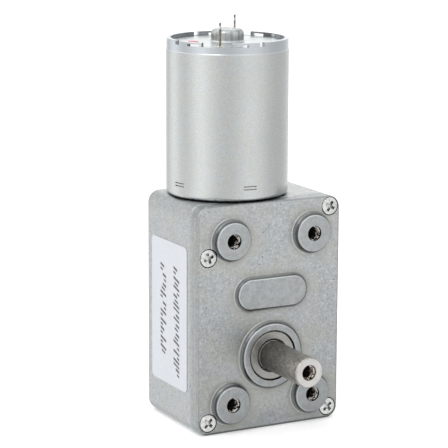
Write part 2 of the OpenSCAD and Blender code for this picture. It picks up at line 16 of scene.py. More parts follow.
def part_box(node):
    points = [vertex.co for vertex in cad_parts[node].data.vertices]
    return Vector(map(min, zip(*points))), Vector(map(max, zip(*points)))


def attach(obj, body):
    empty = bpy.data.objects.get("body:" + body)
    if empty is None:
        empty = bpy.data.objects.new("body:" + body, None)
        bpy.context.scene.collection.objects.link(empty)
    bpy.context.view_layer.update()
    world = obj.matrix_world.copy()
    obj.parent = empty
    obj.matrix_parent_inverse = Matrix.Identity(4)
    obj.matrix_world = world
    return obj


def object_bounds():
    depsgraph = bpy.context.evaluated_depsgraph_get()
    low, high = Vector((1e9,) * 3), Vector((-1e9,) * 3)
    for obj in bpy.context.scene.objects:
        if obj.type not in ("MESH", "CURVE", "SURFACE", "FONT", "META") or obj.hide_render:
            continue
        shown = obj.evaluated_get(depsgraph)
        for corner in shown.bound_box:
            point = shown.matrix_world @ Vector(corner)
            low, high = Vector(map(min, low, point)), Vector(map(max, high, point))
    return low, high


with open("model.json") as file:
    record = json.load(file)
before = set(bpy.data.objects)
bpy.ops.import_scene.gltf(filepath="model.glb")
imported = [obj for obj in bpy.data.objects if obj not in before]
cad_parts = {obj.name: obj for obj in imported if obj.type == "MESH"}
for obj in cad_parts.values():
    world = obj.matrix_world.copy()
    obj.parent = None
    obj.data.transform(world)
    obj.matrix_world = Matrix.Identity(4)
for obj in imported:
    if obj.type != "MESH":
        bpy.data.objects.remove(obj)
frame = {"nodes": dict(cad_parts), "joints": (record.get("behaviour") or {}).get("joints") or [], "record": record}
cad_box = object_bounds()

MM = 0.001

nodes = frame["nodes"]
mounts = {mount["name"]: mount for mount in frame["record"]["mounts"]}
joints = {joint["name"]: joint for joint in frame["joints"]}
FACE_Y = 1.4              # the cover's face, behind the bosses' plane


# ---------- node graphs ----------

class Graph:
    """A material's node graph. Its texture space is the CAD frame in millimetres."""

    def __init__(self, name):
        self.material = bpy.data.materials.new(name)
        self.material.use_nodes = True
        self.tree = self.material.node_tree
        self.shader = self.tree.nodes["Principled BSDF"]
        place = self.add("ShaderNodeTexCoord").outputs["Object"]
        self.mm = self.vector("SCALE", place, Scale=1 / MM)

    def add(self, kind, settings=None, **inputs):
        """A new node, with its settings and the values or links of its named inputs."""
        node = self.tree.nodes.new(kind)
        for key, value in (settings or {}).items():
            setattr(node, key, value)
        for key, value in inputs.items():
            self.feed(node.inputs[key.replace("_", " ")], value)
        return node

    def feed(self, socket, value):
        """Links the socket to a value from another node, or sets it."""
        if isinstance(value, bpy.types.NodeSocket):
            self.tree.links.new(value, socket)
        else:
            socket.default_value = value

    def vector(self, operation, first, second=None, **inputs):
        """The result of a vector operation."""
        node = self.add("ShaderNodeVectorMath", {"operation": operation}, **inputs)
        self.feed(node.inputs[0], first)
        if second is not None:
            self.feed(node.inputs[1], second)
        return node.outputs["Value" if operation in ("DOT_PRODUCT", "LENGTH") else "Vector"]

    def calc(self, operation, first, second=0.0):
        """The result of an operation on numbers."""
        node = self.add("ShaderNodeMath", {"operation": operation})
        self.feed(node.inputs[0], first)
        self.feed(node.inputs[1], second)
        return node.outputs[0]

    def times(self, first, *others):
        """The product of two or more numbers."""
        for other in others:
            first = self.calc("MULTIPLY", first, other)
        return first

    def part(self, vector, axis):
        """One coordinate, "X", "Y" or "Z", of a vector."""
        node = self.add("ShaderNodeSeparateXYZ")
        self.feed(node.inputs[0], vector)
        return node.outputs[axis]

    def noise(self, size, detail=2.0, stretch=(1, 1, 1), rough=0.5, twist=0.0):
        """Soft noise from 0 to 1 whose features are about `size` mm, longer where stretch is."""
        place = self.vector("DIVIDE", self.mm, [size * s for s in stretch])
        node = self.add("ShaderNodeTexNoise", Vector=place, Scale=1.0, Detail=detail,
                        Roughness=rough, Distortion=twist)
        return node.outputs[0]

    def cells(self, size):
        """Distance from 0 up to about 1 to the nearest point of a scatter, size mm apart."""
        place = self.vector("DIVIDE", self.mm, [size] * 3)
        node = self.add("ShaderNodeTexVoronoi", Vector=place, Scale=1.0)
        return node.outputs["Distance"]

    def step(self, value, low, high, to_low=0.0, to_high=1.0):
        """A smooth step: to_low where value is at or below low, to_high at or above high."""
        node = self.add("ShaderNodeMapRange", {"interpolation_type": "SMOOTHSTEP"},
                        Value=value, From_Min=low, From_Max=high, To_Min=to_low, To_Max=to_high)
        return node.outputs[0]

    def near(self, value, target, outer, inner):
        """1 where value is within inner of target, falling to 0 at outer."""
        gap = self.calc("ABSOLUTE", self.calc("SUBTRACT", value, target))
        return self.step(gap, outer, inner)

    def mix(self, share, first, second, blend="MIX"):
        """A colour between first and second, or first changed by second in another blend."""
        node = self.add("ShaderNodeMix", {"data_type": "RGBA", "blend_type": blend})
        self.feed(node.inputs["Factor"], share)
        for socket, value in zip(node.inputs[6:8], (first, second)):
            self.feed(socket, (*value, 1) if isinstance(value, tuple) else value)
        return node.outputs[2]

    def mix_value(self, share, first, second):
        """A number between first and second."""
        node = self.add("ShaderNodeMix")
        for socket, value in zip((node.inputs["Factor"], *node.inputs[2:4]), (share, first, second)):
            self.feed(socket, value)
        return node.outputs[0]

    def normal(self):
        """The direction that the surface looks in."""
        return self.add("ShaderNodeNewGeometry").outputs["Normal"]

    def bump(self, height, depth, normal=None):
        """A normal bumped by height, where 1 stands depth mm proud of 0."""
        node = self.add("ShaderNodeBump", Height=height, Distance=depth * MM, Strength=1.0)
        if normal is not None:
            self.feed(node.inputs["Normal"], normal)
        return node.outputs[0]

    def soft_edges(self, radius):
        """The normal with edges rounded to radius mm, and a mask of those edges."""
        soft = self.add("ShaderNodeBevel", {"samples": 6}, Radius=radius * MM).outputs[0]
        bend = self.calc("SUBTRACT", 1.0, self.vector("DOT_PRODUCT", soft, self.normal()))
        return soft, self.step(bend, 0.005, 0.12)

    def crevice(self, distance):
        """1 in the open, falling to 0 in corners and recesses within distance mm."""
        node = self.add("ShaderNodeAmbientOcclusion", {"samples": 6}, Distance=distance * MM)
        return node.outputs["AO"]

    def done(self, color, roughness, normal=None, metallic=1.0, **others):
        """Feeds the shader and returns the material."""
        values = {"Base_Color": color, "Roughness": roughness, "Metallic": metallic, **others}
        if normal is not None:
            values["Normal"] = normal
        for key, value in values.items():
            socket = self.shader.inputs[key.replace("_", " ")]
            self.feed(socket, (*value, 1) if isinstance(value, tuple) else value)
        return self.material


def shade(color, factor):
    """A fixed colour made lighter or darker."""
    return tuple(channel * factor for channel in color)


# ---------- materials ----------

ZINC_COOL, ZINC_WARM, ZINC_PIT = (0.44, 0.466, 0.481), (0.475, 0.478, 0.448), (0.2, 0.205, 0.2)
# Black painted into bores and threads as the shade deep inside them.
BORE_SHADE_BLACK = (0.006, 0.005, 0.005)


def front_marks(g):
    """Two distances in mm across the front face: from the nearest boss, pad or hub, and from
    the axis of the nearest mounting hole. The first is large behind the cover's face."""
    pattern = mounts["mounting_holes"]
    middle, size = pattern["pos_m"], pattern["dims"]
    idler = joints["idler_spin"]["pos_m"]
    boss_r, hub_r = 3.75, 6.5
    pad_end_r, pad_half = 3.05, 4.6
    x, z = g.part(g.mm, "X"), g.part(g.mm, "Z")

    def away(across, up):
        """Length of a flat vector."""
        flat = g.add("ShaderNodeCombineXYZ", X=across, Y=up)
        return g.vector("LENGTH", flat.outputs[0])

    side = g.calc("ABSOLUTE", x)
    height = g.calc("ABSOLUTE", g.calc("SUBTRACT", z, middle[2] / MM))
    hole = away(g.calc("SUBTRACT", side, size["spacing_x_mm"] / 2),
                g.calc("SUBTRACT", height, size["spacing_y_mm"] / 2))
    pad = away(g.calc("MAXIMUM", g.calc("SUBTRACT", side, pad_half), 0.0),
               g.calc("SUBTRACT", z, idler[2] / MM))
    nearest = g.calc("MINIMUM", g.calc("SUBTRACT", hole, boss_r), g.calc("SUBTRACT", pad, pad_end_r))
    nearest = g.calc("MINIMUM", nearest, g.calc("SUBTRACT", away(x, z), hub_r))
    far = 9
    behind = g.step(g.part(g.mm, "Y"), FACE_Y + 0.5, FACE_Y + 1.1, 0, far)
    return g.calc("ADD", nearest, behind), hole


def zinc_skin(g, clouds, patches, grain, specks):
    """Cool grey with warm clouds, lighter patches, a light and dark grain, and pits."""
    color = g.mix(g.step(clouds, 0.35, 0.68), ZINC_COOL, ZINC_WARM)
    color = g.mix(g.step(patches, 0.3, 0.75, 0, 0.5), color, shade(ZINC_COOL, 1.2))
    color = g.mix(g.step(grain, 0.28, 0.48, 0.6, 0.0), color, shade(ZINC_COOL, 0.5))
    color = g.mix(g.step(grain, 0.52, 0.7, 0.0, 0.7), color, shade(ZINC_COOL, 1.6))
    return g.mix(specks, color, ZINC_PIT)


def raised_shapes(g, color, beside, patches):
    """Color with the bosses, pad and hub picked out: bluish machined tops, flanks darkened by
    painted shade where they do not look up, a painted highlight round each top, strongest where
    it looks left or up, and a painted highlight at the foot of each flank that looks left."""
    y = g.part(g.mm, "Y")
    looks = g.normal()
    leans_left, looks_up = g.part(looks, "X"), g.part(looks, "Z")
    proud = g.step(y, FACE_Y - 0.15, FACE_Y - 0.4)
    top = g.times(proud, g.step(beside, -0.12, -0.3), 0.55)
    machined = g.mix(g.step(patches, 0.3, 0.7), (0.34, 0.36, 0.37), (0.40, 0.42, 0.425))
    color = g.mix(top, color, machined)
    raised = g.step(y, FACE_Y - 0.02, FACE_Y - 0.08)
    flank = g.times(raised, g.step(beside, -0.2, -0.08), g.step(beside, 0.62, 0.5))
    # Painted shade on the flanks, deepest where they do not look up.
    flank_shade = g.times(flank, g.step(looks_up, 0.3, 0.8, 0.8, 0.35))
    color = g.mix(flank_shade, color, (0.125, 0.138, 0.15))
    # Painted highlight at the foot of each flank that looks left.
    foot = g.times(g.near(beside, 0.66, 0.16, 0.06), g.step(leans_left, -0.02, -0.12), 0.85)
    color = g.mix(foot, color, (0.84, 0.87, 0.88))
    lit = g.calc("MAXIMUM", g.step(leans_left, -0.05, -0.3), g.step(looks_up, 0.05, 0.3))
    # Painted highlight round each top, strongest where it looks left or up.
    rim = g.times(g.near(beside, -0.15, 0.17, 0.07), proud, g.step(lit, 0, 1, 0.2, 0.75))
    return g.mix(rim, color, (0.74, 0.77, 0.79))


def warm_surround(g, color, beside, clouds, patches):
    """Color with the flat face warmer round the raised shapes, and painted shade at their feet."""
    ground = g.step(g.part(g.mm, "Y"), FACE_Y - 0.3, FACE_Y - 0.1)
    glow = g.times(g.step(beside, 5, 1), g.step(clouds, 0.3, 0.6, 0.2, 0.8), ground, 0.6)
    color = g.mix(glow, color, shade(ZINC_WARM, 0.99))
    # Painted shade at the feet of the raised shapes.
    foot_shade = g.times(g.step(beside, 2.0, 0.3), g.step(patches, 0.25, 0.6, 0.2, 0.55), ground)
    return g.mix(foot_shade, color, g.mix(1.0, color, (0.6, 0.6, 0.53), "MULTIPLY"))


def case_tones(g, color):
    """Color with painted shade: the front darker towards its foot, the left side darker towards the
    roof, and a dark band along the cover's bottom edge. Color that falls off as the photo's does:
    the front towards its foot, the left side towards the roof, the cover's flanks all over, and a
    dark seam under the cover."""
    y, height = g.part(g.mm, "Y"), g.part(g.mm, "Z")
    looks = g.normal()
    foot, roof = cad_box[0].z / MM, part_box("gearbox_housing")[1].z / MM
    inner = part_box("front_cover")[1].y / MM
    fade_from = 24
    # Painted shade: the front darker towards its foot.
    front = g.times(g.step(height, fade_from, foot, 1.0, 0.81),
                    g.step(height, foot + 6, foot + 0.5, 1.0, 0.8))
    # Painted shade on the left side towards the roof.
    shade_under_roof = g.step(height, roof - 4.5, roof - 0.8, 1.0, 0.86)
    sides = g.times(g.step(y, FACE_Y + 2.3, FACE_Y + 3.2, 0.8, 1.0),
                    g.mix_value(g.step(g.part(looks, "X"), -0.5, -0.9), 1.0, shade_under_roof))
    ahead = g.step(g.part(looks, "Y"), -0.7, -0.97)
    color = g.vector("SCALE", color, Scale=g.mix_value(ahead, sides, front))
    # Painted shade in a dark band along the cover's bottom edge.
    bottom_edge_shade = g.times(g.step(height, foot + 0.75, foot + 0.35), g.step(y, inner + 0.2, inner))
    return g.vector("SCALE", color, Scale=g.step(bottom_edge_shade, 0, 1, 1.0, 0.5))


def cast_zinc():
    """Satin die-cast zinc: worn edges that also carry a painted highlight, painted shade in its
    corners, and bores painted black as shade.
    """
    g = Graph("cast_zinc")
    clouds = g.noise(5, detail=4, rough=0.6, twist=0.4)
    patches = g.noise(1.1, detail=3)
    grain = g.noise(0.38, detail=3, rough=0.75)
    specks = g.times(g.step(g.cells(1.7), 0.11, 0.05), g.step(patches, 0.5, 0.6))
    beside, hole = front_marks(g)
    color = zinc_skin(g, clouds, patches, grain, specks)
    color = raised_shapes(g, color, beside, patches)
    color = warm_surround(g, color, beside, clouds, patches)
    soft, edge = g.soft_edges(0.06)
    # Lighter edges: wear, and partly a painted highlight.
    color = g.mix(g.times(edge, 0.75), color, (0.74, 0.76, 0.77))
    # Painted shade in corners and recesses.
    crevice_shade = g.step(g.crevice(0.7), 0.35, 0.9)
    color = g.mix(crevice_shade, g.mix(1.0, color, (0.45, 0.47, 0.49), "MULTIPLY"), color)
    color = case_tones(g, color)
    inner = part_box("front_cover")[1].y / MM
    hole_r = mounts["mounting_holes"]["dims"]["hole_r_mm"]
    # Painted shade: the bores of the mounting holes black.
    bore = g.times(g.step(hole, hole_r + 0.06, hole_r), g.step(g.part(g.mm, "Y"), inner + 0.2, inner))
    color = g.mix(bore, color, BORE_SHADE_BLACK)
    roughness = g.calc("SUBTRACT", g.step(patches, 0.3, 0.7, 0.45, 0.36), g.times(edge, 0.1))
    skin = g.bump(g.noise(2.6, detail=2), 0.015, soft)
    skin = g.bump(grain, 0.01, skin)
    return g.done(color, roughness, g.bump(specks, -0.03, skin))


def can_steel():
    """Satin zinc-plated steel of the drawn can: sparkling grain, a smoother rolled band with a
    painted highlight along its lower edge, and painted shade in its crevices and inside its wall.
    """
    g = Graph("can_steel")
    base, bright, blue = (0.59, 0.611, 0.609), (0.8, 0.81, 0.8), (0.53, 0.57, 0.61)
    low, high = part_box("motor_can")
    band_width = 2.2
    band_start = high.z / MM - band_width
    height = g.part(g.mm, "Z")
    grain = g.noise(0.2, detail=2, rough=0.7)
    clouds = g.noise(5, detail=3, stretch=(1, 1, 2.5))
    streaks = g.noise(0.5, detail=2, stretch=(1.5, 1.5, 1))
    color = g.mix(g.step(grain, 0.3, 0.5, 0.4, 0.0), base, shade(base, 0.66))
    color = g.mix(g.step(grain, 0.52, 0.7, 0.0, 0.5), color, bright)
    color = g.mix(g.step(clouds, 0.35, 0.7, 0.0, 0.35), color, shade(base, 0.88))
    warm = g.mix(g.step(g.noise(1.6, detail=3, rough=0.65), 0.35, 0.65), (0.975, 0.995, 1.01),
                 (1.0, 0.993, 0.96))
    color = g.mix(1.0, color, warm, "MULTIPLY")
    band = g.step(height, band_start - 0.05, band_start + 0.05)
    color = g.mix(g.times(band, 0.75), color, blue)
    # Painted highlight along the step at the band's lower edge.
    line = g.times(g.near(height, band_start, 0.15, 0.05), 0.3)
    color = g.mix(line, color, (0.85, 0.86, 0.87))
    soft, edge = g.soft_edges(0.06)
    color = g.mix(g.times(edge, 0.3), color, (0.85, 0.86, 0.86))
    # Painted shade in crevices.
    can_crevice_shade = g.step(g.crevice(0.3), 0.25, 0.75)
    color = g.mix(can_crevice_shade, shade(base, 0.12), color)
    axis = (low + high) / 2 / MM
    wall = 0.6
    bore = (high.x - low.x) / 2 / MM - wall
    # Painted shade on everything inside the can's wall.
    inside = g.step(radius_about(g, axis, "Z"), bore, bore - 0.1, 1.0, 0.6)
    color = g.vector("SCALE", color, Scale=inside)
    rough = g.step(streaks, 0.3, 0.7, 0.26, 0.33)
    rough = g.calc("SUBTRACT", rough, g.times(band, 0.06))
    fine = g.times(grain, g.calc("SUBTRACT", 1.0, g.times(band, 0.8)))
    return g.done(color, rough, g.bump(clouds, 0.03, g.bump(fine, 0.006, soft)))


def end_plate_steel():
    """Pale plated sheet with a darker dome in faint streaks, and a few scuffs."""
    g = Graph("end_plate_steel")
    base = (0.58, 0.61, 0.61)
    clouds = g.noise(3, detail=3)
    scuffs = g.noise(0.5, detail=2, stretch=(6, 1, 1))
    drawn = g.noise(0.7, detail=2, stretch=(1, 1, 9))
    dome_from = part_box("motor_end_plate")[0].z / MM + 0.9
    color = g.mix(g.step(clouds, 0.35, 0.7), base, shade(base, 1.1))
    # The dome darker, in streaks.
    dome = g.step(g.part(g.mm, "Z"), dome_from, dome_from + 0.3)
    streaks = g.mix(g.step(drawn, 0.35, 0.65), shade(base, 0.55), shade(base, 0.95))
    color = g.mix(g.times(dome, 0.85), color, streaks)
    color = g.mix(g.step(scuffs, 0.55, 0.75, 0, 0.3), color, shade(base, 0.75))
    soft, edge = g.soft_edges(0.12)
    color = g.mix(g.times(edge, 0.5), color, (0.85, 0.87, 0.88))
    rough = g.step(clouds, 0.3, 0.7, 0.26, 0.4)
    return g.done(color, rough, g.bump(g.noise(0.25, detail=1), 0.006, soft))


def radius_about(g, centre, axis):
    """Distance in mm from the line through centre, in mm, along one axis."""
    keep = [0.0 if name == axis else 1.0 for name in "XYZ"]
    offset = g.vector("SUBTRACT", g.mm, centre)
    return g.vector("LENGTH", g.vector("MULTIPLY", offset, keep))


def turned_steel(name, base, rough, axis="Y", centre=(0, 0, 0), pitch=0.12, end=None, tip=1.0,
                 worn=0.05):
    """Turned or ground steel: fine rings where the tool passed, uneven sheen, bright edges, and
    scuffs that change its brightness by up to the share worn. With an end colour, a face that
    looks along -axis takes it, and the length is painted lighter towards it, to tip times the
    base, as painted shade near the root and painted light towards the end."""
    g = Graph(name)
    along = g.part(g.mm, axis)
    out = radius_about(g, centre, axis)
    wander = g.times(g.noise(1.2), pitch)
    place = g.calc("ADD", g.calc("ADD", along, out), wander)
    rings = g.step(g.calc("SINE", g.times(place, 2 * math.pi / pitch)), -1, 1)
    clouds = g.noise(1.8, detail=3)
    color = g.mix(g.step(clouds, 0.3, 0.7), shade(base, 0.86), shade(base, 1.16))
    color = g.mix(g.times(rings, 0.22), color, shade(base, 1.5))
    scuffs = g.noise(0.4, detail=3, rough=0.7, stretch=[2 if name == axis else 1 for name in "XYZ"])
    color = g.vector("SCALE", color, Scale=g.step(scuffs, 0.33, 0.67, 1 - worn, 1 + worn))
    if end:
        light_at, dark_at = -13, -1
        # Painted light along the length: base at the root, lighter towards the end.
        color = g.vector("SCALE", color, Scale=g.step(along, light_at, dark_at, tip, 1.0))
        faces = g.step(g.part(g.normal(), axis), -0.85, -0.95)
        cut = g.mix(g.step(clouds, 0.3, 0.7), shade(end, 0.9), shade(end, 1.06))
        color = g.mix(faces, color, cut)
    soft, edge = g.soft_edges(0.1)
    color = g.mix(g.times(edge, 0.55), color, (0.75, 0.75, 0.74))
    roughness = g.step(clouds, 0.25, 0.75, rough, rough + 0.12)
    return g.done(color, roughness, g.bump(rings, 0.004, soft))


def plated_screw():
    """Bright zinc plate over a pressed head, with painted shade, speckled grey, in its recess."""
    g = Graph("screw_zinc")
    base = (0.74, 0.75, 0.735)
    spots = g.noise(0.5, detail=3)
    color = g.mix(g.step(spots, 0.35, 0.75), base, shade(base, 0.78))
    # Painted shade in the recess.
    deep = g.step(g.crevice(0.8), 0.3, 0.9)
    crevice_shade = g.mix(g.step(g.noise(0.3, detail=2), 0.42, 0.62), (0.1, 0.1, 0.095), (0.5, 0.5, 0.49))
    color = g.mix(deep, crevice_shade, color)
    soft, edge = g.soft_edges(0.09)
    color = g.mix(g.times(edge, 0.4), color, (0.95, 0.95, 0.94))
    rough = g.step(spots, 0.3, 0.7, 0.24, 0.38)
    return g.done(color, rough, g.bump(g.noise(0.3, detail=2), 0.015, soft))


def sheet_metal(name, base, tarnish, rough=0.34):
    """Thin strip metal with tarnish in drifting patches and bright cut edges."""
    g = Graph(name)
    patches = g.noise(0.9, detail=3)
    lines = g.noise(0.18, detail=1, stretch=(1, 1, 9))
    color = g.mix(g.step(patches, 0.4, 0.62), base, tarnish)
    color = g.mix(g.step(lines, 0.5, 0.75, 0, 0.4), color, shade(base, 1.25))
    soft, edge = g.soft_edges(0.05)
    color = g.mix(g.times(edge, 0.5), color, shade(base, 1.3))
    return g.done(color, g.step(patches, 0.3, 0.7, rough, rough + 0.15),
                  g.bump(lines, 0.006, soft))


def terminal_strip():
    """The terminals' copper alloy: tarnished, with a painted glint round the hole, and dark at the tip."""
    g = Graph("terminal_copper")
    base, tarnish = (0.42, 0.31, 0.22), (0.2, 0.155, 0.12)
    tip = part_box("terminals")[1].z / MM
    below = g.calc("SUBTRACT", tip, g.part(g.mm, "Z"))
    patches = g.noise(0.6, detail=3)
    color = g.mix(g.step(patches, 0.4, 0.62), base, tarnish)
    color = g.mix(g.step(below, 2.2, 1.2, 0.0, 0.7), color, (0.1, 0.085, 0.08))
    # Painted glint round the hole.
    hole_glint = g.times(g.near(below, 0.85, 0.4, 0.25), 0.85)
    color = g.mix(hole_glint, color, (0.8, 0.8, 0.79))
    soft, edge = g.soft_edges(0.05)
    color = g.mix(g.times(edge, 0.2), color, shade(base, 1.3))
    return g.done(color, g.step(patches, 0.3, 0.7, 0.34, 0.5), g.bump(patches, 0.01, soft))


def cut_gear(name, base, rough=0.3):
    """Hobbed gear metal: feed marks across the teeth and a thin, uneven film of grease."""
    g = Graph(name)
    film = g.noise(2.4, detail=3)
    marks = g.noise(0.14, detail=1, stretch=(3, 3, 1))
    color = g.mix(g.step(film, 0.35, 0.7), base, shade(base, 0.7))
    color = g.mix(g.step(marks, 0.5, 0.8, 0, 0.35), color, shade(base, 1.35))
    soft, edge = g.soft_edges(0.08)
    color = g.mix(g.times(edge, 0.6), color, shade(base, 1.5))
    return g.done(color, g.step(film, 0.3, 0.7, rough, rough + 0.2),
                  g.bump(marks, 0.008, soft), Coat_Weight=g.step(film, 0.45, 0.7, 0.0, 0.4))


def thread_metal(name, base, mouth, depth):
    """Cut threads, black with painted shade that deepens down the hole, and painted glints on their
    crests that fade down it. Mouth is a coordinate in mm on Y."""
    g = Graph(name)
    below = g.calc("SUBTRACT", g.part(g.mm, "Y"), mouth)
    # Painted shade: the glints fade to black down the hole.
    light = g.step(below, 0.2, depth, 1.0, 0.0)
    lit = g.vector("DOT_PRODUCT", g.normal(), (-0.6, 0.0, -0.8))
    # This noise sets the roughness and where the painted glints fall.
    oil = g.noise(0.5, detail=2, rough=0.6)
    chance = g.calc("ADD", g.calc("ADD", oil, g.times(light, 0.2)), g.times(lit, 0.1))
    # Painted glints, most on walls that look down and left.
    glint = g.times(g.step(chance, 0.6, 0.72), light)
    color = g.mix(glint, BORE_SHADE_BLACK, base)
    return g.done(color, g.step(oil, 0.3, 0.7, 0.35, 0.2), g.bump(oil, 0.03))


def sintered(name, base):
    """Pressed powder metal: open pores with oil in them, and edges painted lighter as a highlight."""
    g = Graph(name)
    pores = g.step(g.cells(0.22), 0.3, 0.12)
    clouds = g.noise(1.5, detail=3)
    color = g.mix(g.step(clouds, 0.3, 0.7), shade(base, 0.88), shade(base, 1.12))
    color = g.mix(g.times(pores, 0.75), color, shade(base, 0.35))
    soft, edge = g.soft_edges(0.1)
    # Painted highlight on the edges.
    color = g.mix(g.times(edge, 0.2), color, shade(base, 1.3))
    rough = g.step(clouds, 0.3, 0.7, 0.36, 0.5)
    return g.done(color, rough, g.bump(pores, -0.02, soft))


def moulded(name, base, rough=0.45, through=0.0):
    """Moulded plastic: a fine spark-eroded grain, faint flow clouds and softened edges."""
    g = Graph(name)
    flow = g.noise(4, detail=3, stretch=(1, 1, 2))
    grain = g.noise(0.12, detail=1)
    color = g.mix(g.step(flow, 0.3, 0.7), shade(base, 0.92), shade(base, 1.08))
    soft, edge = g.soft_edges(0.12)
    color = g.mix(g.times(edge, 0.35), color, shade(base, 1.2))
    roughness = g.step(grain, 0.3, 0.7, rough - 0.08, rough + 0.08)
    return g.done(color, roughness, g.bump(grain, 0.008, soft), metallic=0.0,
                  Subsurface_Weight=through, Subsurface_Scale=0.3 * MM)


def pressed_powder(name, base):
    """Ferrite or carbon: dull, dark, granular, with crumbled edges."""
    g = Graph(name)
    grain = g.noise(0.15, detail=3)
    clouds = g.noise(3, detail=2)
    color = g.mix(g.step(grain, 0.3, 0.75), shade(base, 0.7), shade(base, 1.5))
    color = g.mix(g.step(clouds, 0.4, 0.7, 0, 0.4), color, shade(base, 1.7))
    soft, edge = g.soft_edges(0.15)
    color = g.mix(g.times(edge, 0.4), color, shade(base, 2.4))
    return g.done(color, g.step(grain, 0.3, 0.7, 0.55, 0.8), g.bump(grain, 0.02, soft),
                  metallic=0.15)


def laminations():
    """A stack of stamped sheets, 0.5 mm each, with dark gaps between them."""
    g = Graph("lamination_steel")
    base = (0.42, 0.43, 0.44)
    sheet = g.calc("PINGPONG", g.part(g.mm, "Z"), 0.25)
    gap = g.step(sheet, 0.0, 0.05, 1.0, 0.0)
    spots = g.noise(0.7, detail=3)
    color = g.mix(g.step(spots, 0.35, 0.7), base, shade(base, 0.7))
    color = g.mix(g.times(gap, 0.8), color, shade(base, 0.3))
    soft, _ = g.soft_edges(0.06)
    normal = g.bump(gap, -0.03, soft)
    return g.done(color, g.step(spots, 0.3, 0.7, 0.35, 0.5), normal, metallic=0.9)


def enamelled_wire():
    """Copper wire in close turns: round strands, 0.25 mm apart, under clear enamel, with painted
    shade between them.
    """
    g = Graph("enamel_wire")
    base = (0.62, 0.24, 0.09)
    wander = g.times(g.noise(2.0), 0.12)
    strand = g.calc("PINGPONG", g.calc("ADD", g.part(g.mm, "Z"), wander), 0.125)
    crown = g.step(strand, 0.0, 0.125)
    # Painted shade between the turns, lighter on their crowns.
    color = g.mix(crown, shade(base, 0.25), base)
    color = g.mix(g.step(g.noise(0.8, detail=2), 0.4, 0.7, 0, 0.5), color, shade(base, 1.4))
    return g.done(color, g.step(crown, 0, 1, 0.5, 0.22), g.bump(crown, 0.08), metallic=0.9,
                  Coat_Weight=0.6, Coat_Roughness=0.15)


def label_film():
    """Matt white film with a faint fibre and faint grey clouds."""
    g = Graph("label_film")
    base = (0.56, 0.583, 0.62)
    fibre = g.noise(0.35, detail=3, stretch=(1, 4, 1))
    clouds = g.noise(6, detail=2)
    color = g.mix(g.step(fibre, 0.3, 0.7), shade(base, 0.96), shade(base, 1.03))
    color = g.mix(g.step(clouds, 0.4, 0.7, 0, 0.5), color, shade(base, 0.96))
    soft, _ = g.soft_edges(0.06)
    return g.done(color, g.step(fibre, 0.3, 0.7, 0.42, 0.55), g.bump(fibre, 0.006, soft),
                  metallic=0.0)


def ink():
    """Dark grey printing ink, thinner in places."""
    g = Graph("label_ink")
    cover = g.noise(0.3, detail=3)
    color = g.mix(g.step(cover, 0.35, 0.7), (0.05, 0.05, 0.055), (0.16, 0.16, 0.17))
    return g.done(color, g.step(cover, 0.3, 0.7, 0.4, 0.6), g.bump(cover, 0.004), metallic=0.0)


def paint():
    """A dab of red lacquer, thin enough in patches to look pink."""
    g = Graph("polarity_paint")
    thin = g.noise(0.9, detail=3)
    color = g.mix(g.step(thin, 0.35, 0.7), (0.6, 0.03, 0.045), (0.82, 0.15, 0.18))
    return g.done(color, g.step(thin, 0.3, 0.7, 0.4, 0.6), g.bump(thin, 0.02), metallic=0.0,
                  Specular_IOR_Level=0.12)


# ---------- shapes ----------

def shading_group(limit):
    """A modifier group that joins doubled points and shades edges flatter than limit smooth."""
    group = bpy.data.node_groups.new("shade_by_angle", "GeometryNodeTree")
    group.is_modifier = True
    for way in ("INPUT", "OUTPUT"):
        group.interface.new_socket("Geometry", in_out=way, socket_type="NodeSocketGeometry")
    make, link = group.nodes.new, group.links.new
    start, end = make("NodeGroupInput"), make("NodeGroupOutput")
    merge = make("GeometryNodeMergeByDistance")
    merge.inputs["Distance"].default_value = 0.0005 * MM
    plain = make("GeometryNodeRemoveAttribute")
    plain.inputs["Name"].default_value = "custom_normal"
    faces, edges = make("GeometryNodeSetShadeSmooth"), make("GeometryNodeSetShadeSmooth")
    edges.domain = "EDGE"
    angle, below = make("GeometryNodeInputMeshEdgeAngle"), make("FunctionNodeCompare")
    below.operation = "LESS_THAN"
    below.inputs["B"].default_value = limit
    link(angle.outputs["Unsigned Angle"], below.inputs["A"])
    link(below.outputs["Result"], edges.inputs["Shade Smooth"])
    chain = (start, merge, plain, faces, edges, end)
    for before, after in zip(chain, chain[1:]):
        link(before.outputs["Geometry"], after.inputs["Geometry"])
    return group


SHADE_BY_ANGLE = shading_group(math.radians(32))


def dress(node_name, material):
    """Gives a CAD node its material, and clean smooth shading by modifiers."""
    piece = nodes[node_name]
    for slot in piece.material_slots:
        slot.material = material
    tidy = piece.modifiers.new("shading", "NODES")
    tidy.node_group = SHADE_BY_ANGLE
    weigh = piece.modifiers.new("normals", "WEIGHTED_NORMAL")
    weigh.keep_sharp = True


def new_piece(name, shape, material, body):
    """A finished bmesh as a named piece that rides on a body."""
    mesh = bpy.data.meshes.new(name)
    bmesh.ops.recalc_face_normals(shape, faces=shape.faces)
    shape.to_mesh(mesh)
    shape.free()
    mesh.materials.append(material)
    piece = bpy.data.objects.new(name, mesh)
    bpy.context.scene.collection.objects.link(piece)
    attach(piece, body)
    return piece


